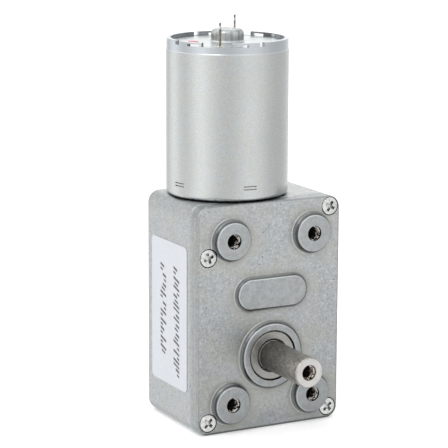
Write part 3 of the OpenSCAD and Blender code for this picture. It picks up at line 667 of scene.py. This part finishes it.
def add_thread(shape, centre, length, radius):
    """A helical ridge inside a hole whose mouth is at centre and which runs along +Y."""
    steps, pitch = 28, 0.5 * MM
    full_depth, sunk = 0.54 * pitch, 0.03 * MM
    root, crest = 0.42 * pitch, 0.07 * pitch
    sections = []
    for i in range(int(length / pitch * steps) + 1):
        turn = 2 * math.pi * i / steps
        along = pitch * i / steps
        depth = full_depth * min(1.0, (i + 1) / steps)
        profile = ((radius + sunk, -root), (radius - depth, -crest), (radius - depth, crest),
                   (radius + sunk, root))
        sections.append([
            shape.verts.new(centre + Vector((r * math.cos(turn), along + y, r * math.sin(turn))))
            for r, y in profile])
    for before, after in zip(sections, sections[1:]):
        for k in range(4):
            j = (k + 1) % 4
            shape.faces.new((before[k], before[j], after[j], after[k]))
    shape.faces.new(sections[0])
    shape.faces.new(reversed(sections[-1]))


def boss_threads(material):
    """The tapped threads of the four mounting bosses."""
    pattern = mounts["mounting_holes"]
    size = pattern["dims"]
    middle = Vector(pattern["pos_m"])
    radius = size["hole_r_mm"] * MM
    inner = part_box("front_cover")[1].y
    lead = 0.22 * MM
    shape = bmesh.new()
    for x in (-0.5, 0.5):
        for z in (-0.5, 0.5):
            mouth = middle + Vector((x * size["spacing_x_mm"] * MM, lead,
                                     z * size["spacing_y_mm"] * MM))
            add_thread(shape, mouth, inner - 2 * lead, radius)
    return new_piece("boss_threads", shape, material, "case")


def shaft_thread(material):
    """The tapped thread in the output shaft's end."""
    size = mounts["shaft_end_thread"]["dims"]
    lead = 0.32 * MM
    mouth = Vector((0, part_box("output_shaft")[0].y + lead, 0))
    shape = bmesh.new()
    add_thread(shape, mouth, size["length_mm"] * MM - 2 * lead, size["r_mm"] * MM)
    return new_piece("shaft_end_thread", shape, material, "output")


def label_print(material):
    """Two columns of plain slanted strokes, a stand-in for print that says nothing."""
    low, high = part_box("rating_label")
    chance = random.Random(5)
    thick, slant, half = 0.03 * MM, 0.4 * MM, 1.25 * MM
    heavy, light, gap = 0.5 * MM, 0.42 * MM, 0.95 * MM
    shape = bmesh.new()

    def stroke(middle, z, width, start, end):
        """A slanted bar; start and end are shares of half its column's width."""
        corners = [(middle + start * half, z + start * slant), (middle + end * half, z + end * slant),
                   (middle + end * half, z + end * slant - width),
                   (middle + start * half, z + start * slant - width)]
        face = shape.faces.new([shape.verts.new((low.x + thick, y, h)) for y, h in corners])
        solid = bmesh.ops.extrude_face_region(shape, geom=[face])
        moved = [v for v in solid["geom"] if isinstance(v, bmesh.types.BMVert)]
        bmesh.ops.translate(shape, verts=moved, vec=(-1.5 * thick, 0, 0))

    # share of the label's depth from its front edge, and first and last share of its height
    for across, first, last in ((0.29, 0.83, 0.12), (0.665, 0.82, 0.19)):
        middle = low.y + across * (high.y - low.y)
        z = low.z + first * (high.z - low.z)
        stop = low.z + last * (high.z - low.z)
        while z > stop:
            start, end = chance.choice(((-1, 1), (-1, 0.2), (-0.3, 1), (-1, 1)))
            stroke(middle, z, heavy, start, end)
            start, end = chance.choice(((-1, 1), (-1, -0.2), (0.2, 1), (-0.6, 0.6)))
            stroke(middle, z - gap, light, start, end)
            z -= chance.choice((1.75, 1.9, 2.0)) * MM
    return new_piece("label_print", shape, material, "case")


def paint_dab(material):
    """The red dab on the end plate that marks the positive terminal."""
    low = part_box("motor_end_plate")[0]
    can_low, can_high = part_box("motor_can")
    axis = (can_low + can_high) / 2
    plate = 0.8 * MM
    surface = low.z + plate
    centre = Vector((axis.x - 6.6 * MM, axis.y + 1.6 * MM, surface))
    half_x, half_y, thick, sunk = 0.9 * MM, 1.9 * MM, 0.05 * MM, 0.03 * MM
    chance = random.Random(3)
    rings, points = 5, 28
    turns = [2 * math.pi * k / points for k in range(points)]
    wobble = [1 + 0.18 * math.sin(3 * turn + 1) + 0.08 * chance.random() for turn in turns]
    shape = bmesh.new()
    levels = [[shape.verts.new(centre + Vector((0, 0, thick)))]]
    for i in range(1, rings + 1):
        share = i / rings
        height = thick * (1 - share ** 2) if i < rings else -sunk
        outline = []
        for turn, out in zip(turns, wobble):
            x, y = half_x * share * out * math.cos(turn), half_y * share * out * math.sin(turn)
            outline.append(shape.verts.new(centre + Vector((x, y, height))))
        levels.append(outline)
    for k in range(points):
        j = (k + 1) % points
        shape.faces.new((levels[0][0], levels[1][k], levels[1][j]))
        for inner, outer in zip(levels[1:], levels[2:]):
            shape.faces.new((inner[k], outer[k], outer[j], inner[j]))
    shape.faces.new(levels[-1])
    piece = new_piece("polarity_dab", shape, material, "case")
    for face in piece.data.polygons:
        face.use_smooth = True
    return piece


# ---------- studio ----------

CAMERA_AZIMUTH = math.radians(-27.93)
CAMERA_ELEVATION = math.radians(11.565)
CAMERA_ROLL = math.radians(0.233)
CAMERA_DISTANCE = 0.39905
CAMERA_LENS = 165.27
CAMERA_AIM = Vector((-10.606, 1.4, 27.455)) * MM


def camera():
    """A long lens, to the left of the shaft and a little above."""
    a, e = CAMERA_AZIMUTH, CAMERA_ELEVATION
    back = Vector((math.sin(a) * math.cos(e), -math.cos(a) * math.cos(e), math.sin(e)))
    data = bpy.data.cameras.new("camera")
    data.lens = CAMERA_LENS
    data.sensor_width = 36
    data.clip_start, data.clip_end = 0.01, 20
    eye = bpy.data.objects.new("camera", data)
    eye.rotation_mode = "QUATERNION"
    eye.rotation_quaternion = ((-back).to_track_quat("-Z", "Y")
                               @ Matrix.Rotation(CAMERA_ROLL, 4, "Z").to_quaternion())
    eye.location = CAMERA_AIM + back * CAMERA_DISTANCE
    bpy.context.scene.collection.objects.link(eye)
    bpy.context.scene.camera = eye


# Brightness round the horizon, by the share of a turn from straight behind the camera's
# left to its right: 0.5 is the camera's own direction, 0 and 1 are straight ahead of it.
TENT = ((0.00, 0.85), (0.05, 0.66), (0.10, 0.31), (0.165, 1.00), (0.235, 0.46), (0.30, 0.60),
        (0.355, 0.91), (0.41, 0.67), (0.50, 0.42), (0.56, 0.59), (0.61, 0.70), (0.67, 0.68),
        (0.76, 0.40), (0.88, 0.48), (0.95, 0.66), (1.00, 0.85))
# Brightness from straight down, 0, past the horizon, 0.5, to straight up, 1
HEIGHTS = ((0.00, 0.70), (0.20, 0.66), (0.42, 0.72), (0.52, 0.64), (0.60, 0.78), (0.70, 0.66),
           (0.85, 0.80), (1.00, 0.84))
TENT_STRENGTH = 2.35


def ramp(tree, stops):
    """A colour ramp node through grey values at positions from 0 to 1."""
    node = tree.nodes.new("ShaderNodeValToRGB")
    node.color_ramp.interpolation = "B_SPLINE"
    points = node.color_ramp.elements
    for _ in stops[2:]:
        points.new(0.5)
    for point, (position, value) in zip(points, stops):
        point.position = position
        point.color = (value, value, value, 1)
    return node


def light_tent():
    """A white tent round the object: bright sheets at both sides of the camera, a bright back
    and roof, dimmer between. The camera itself sees plain white."""
    world = bpy.data.worlds.new("light_tent")
    world.use_nodes = True
    bpy.context.scene.world = world
    make, link = world.node_tree.nodes.new, world.node_tree.links.new
    sky = world.node_tree.nodes["Background"]
    out = world.node_tree.nodes["World Output"]
    place = make("ShaderNodeTexCoord").outputs["Generated"]
    turned = make("ShaderNodeVectorRotate")
    turned.rotation_type = "Z_AXIS"
    turned.inputs["Angle"].default_value = -CAMERA_AZIMUTH + math.pi / 2
    split = make("ShaderNodeSeparateXYZ")
    azimuth = make("ShaderNodeMath")
    azimuth.operation = "ARCTAN2"
    share = make("ShaderNodeMapRange")
    share.inputs["From Min"].default_value = -math.pi
    share.inputs["From Max"].default_value = math.pi
    height = make("ShaderNodeMapRange")
    height.inputs["From Min"].default_value = -1.0
    around, upward = ramp(world.node_tree, TENT), ramp(world.node_tree, HEIGHTS)
    blend = make("ShaderNodeMix")
    blend.data_type = "RGBA"
    blend.blend_type = "MULTIPLY"
    blend.inputs["Factor"].default_value = 1.0
    link(place, turned.inputs["Vector"])
    link(turned.outputs[0], split.inputs[0])
    link(split.outputs["Y"], azimuth.inputs[0])
    link(split.outputs["X"], azimuth.inputs[1])
    link(azimuth.outputs[0], share.inputs["Value"])
    link(share.outputs[0], around.inputs[0])
    link(split.outputs["Z"], height.inputs["Value"])
    link(height.outputs[0], upward.inputs[0])
    link(around.outputs[0], blend.inputs[6])
    link(upward.outputs[0], blend.inputs[7])
    link(blend.outputs[2], sky.inputs["Color"])
    sky.inputs["Strength"].default_value = TENT_STRENGTH
    white = make("ShaderNodeBackground")
    eye = make("ShaderNodeLightPath").outputs["Is Camera Ray"]
    both = make("ShaderNodeMixShader")
    white.inputs["Color"].default_value = (1, 1, 1, 1)
    link(eye, both.inputs[0])
    link(sky.outputs[0], both.inputs[1])
    link(white.outputs[0], both.inputs[2])
    link(both.outputs[0], out.inputs["Surface"])


def softbox(name, direction, distance, size, power):
    """A square area light that looks at the middle of the object."""
    middle = (cad_box[0] + cad_box[1]) / 2
    data = bpy.data.lights.new(name, "AREA")
    data.size = size
    data.energy = power
    lamp = bpy.data.objects.new(name, data)
    away = Vector(direction).normalized()
    lamp.location = middle + away * distance
    lamp.rotation_mode = "QUATERNION"
    lamp.rotation_quaternion = (-away).to_track_quat("-Z", "Y")
    lamp.visible_camera = False
    bpy.context.scene.collection.objects.link(lamp)


def floor():
    """A pale sheet under the object, glowing a little so that it stays white to the horizon.
    Reflections pass through it, and show the light tent's lower half instead."""
    g = Graph("pale_floor")
    fibre = g.noise(2, detail=2)
    color = g.mix(g.step(fibre, 0.3, 0.7), (0.93, 0.93, 0.93), (0.96, 0.96, 0.96))
    material = g.done(color, 0.8, metallic=0.0, Emission_Color=(1.0, 1.0, 1.0),
                      Emission_Strength=0.3)
    mirrored = g.add("ShaderNodeLightPath").outputs["Is Glossy Ray"]
    both = g.add("ShaderNodeMixShader", Fac=mirrored)
    g.feed(both.inputs[1], g.shader.outputs[0])
    g.feed(both.inputs[2], g.add("ShaderNodeBsdfTransparent").outputs[0])
    g.feed(g.tree.nodes["Material Output"].inputs["Surface"], both.outputs[0])
    half = 3.0
    corners = ((-half, -half), (half, -half), (half, half), (-half, half))
    shape = bmesh.new()
    shape.faces.new([shape.verts.new((x, y, cad_box[0].z)) for x, y in corners])
    mesh = bpy.data.meshes.new("floor")
    shape.to_mesh(mesh)
    shape.free()
    mesh.materials.append(material)
    sheet = bpy.data.objects.new("floor", mesh)
    bpy.context.scene.collection.objects.link(sheet)


# ---------- assembly ----------

rotor_axis = [c / MM for c in joints["rotor_spin"]["pos_m"]]

zinc = cast_zinc()
can_metal = can_steel()
bush_steel = sintered("sintered_steel", (0.40, 0.395, 0.375))
shaft_steel = turned_steel("shaft_steel", (0.178, 0.17, 0.155), rough=0.36, pitch=0.16,
                           end=(0.68, 0.665, 0.65), tip=2.3, worn=0.27)
pin_steel = turned_steel("ground_pin", (0.5, 0.5, 0.5), rough=0.22)
rotor_steel = turned_steel("rotor_shaft_steel", (0.55, 0.56, 0.56), axis="Z", rough=0.2,
                           centre=rotor_axis)
gear_steel = cut_gear("gear_steel", (0.36, 0.37, 0.38))
washer_steel = sheet_metal("washer_steel", (0.58, 0.59, 0.6), (0.42, 0.42, 0.41))
brass = cut_gear("gear_brass", (0.66, 0.46, 0.17), rough=0.26)
bronze = sintered("sintered_bronze", (0.42, 0.28, 0.12))
copper_strip = sheet_metal("spring_copper", (0.62, 0.31, 0.14), (0.38, 0.19, 0.1), rough=0.28)
terminal_metal = terminal_strip()
segment_copper = turned_steel("segment_copper", (0.7, 0.36, 0.2), axis="Z", rough=0.25,
                              centre=rotor_axis)
nylon = moulded("nylon", (0.80, 0.76, 0.60), through=0.2)
insulation = moulded("insulation", (0.04, 0.17, 0.1), rough=0.35)
phenolic = moulded("phenolic", (0.1, 0.045, 0.025), rough=0.38)
ferrite = pressed_powder("ferrite", (0.045, 0.044, 0.043))
carbon = pressed_powder("carbon", (0.03, 0.03, 0.032))

LOOKS = {
    zinc: ("gearbox_housing", "front_cover"),
    can_metal: ("motor_can",),
    end_plate_steel(): ("motor_end_plate",),
    plated_screw(): ("cover_screws", "motor_screws"),
    label_film(): ("rating_label",),
    bush_steel: ("front_bush", "rear_bush"),
    shaft_steel: ("output_shaft",),
    pin_steel: ("idler_pin",),
    rotor_steel: ("motor_shaft",),
    gear_steel: ("output_gear", "idler_pinion"),
    washer_steel: ("shaft_washers", "idler_washers", "magnet_clip"),
    brass: ("worm_wheel", "worm"),
    bronze: ("motor_front_bush", "motor_rear_bush"),
    copper_strip: ("brush_springs",),
    segment_copper: ("commutator_segments",),
    terminal_metal: ("terminals",),
    nylon: ("brush_holder", "rotor_spacers"),
    insulation: ("armature_insulators",),
    phenolic: ("commutator_hub",),
    ferrite: ("magnets",),
    carbon: ("brushes",),
    laminations(): ("armature_core",),
    enamelled_wire(): ("windings",),
}
for material, names in LOOKS.items():
    for name in names:
        dress(name, material)

boss_threads(thread_metal("thread_zinc", (0.62, 0.575, 0.53), 0.0, 3.0))
shaft_thread(thread_metal("thread_steel", (0.72, 0.62, 0.56),
                          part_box("output_shaft")[0].y / MM, 3.2))
label_print(ink())
paint_dab(paint())

floor()
light_tent()
softbox("key_light", direction=(-0.75, -0.35, 1.0), distance=0.6, size=0.3, power=0.5)
camera()
bpy.context.scene.view_settings.view_transform = "Standard"
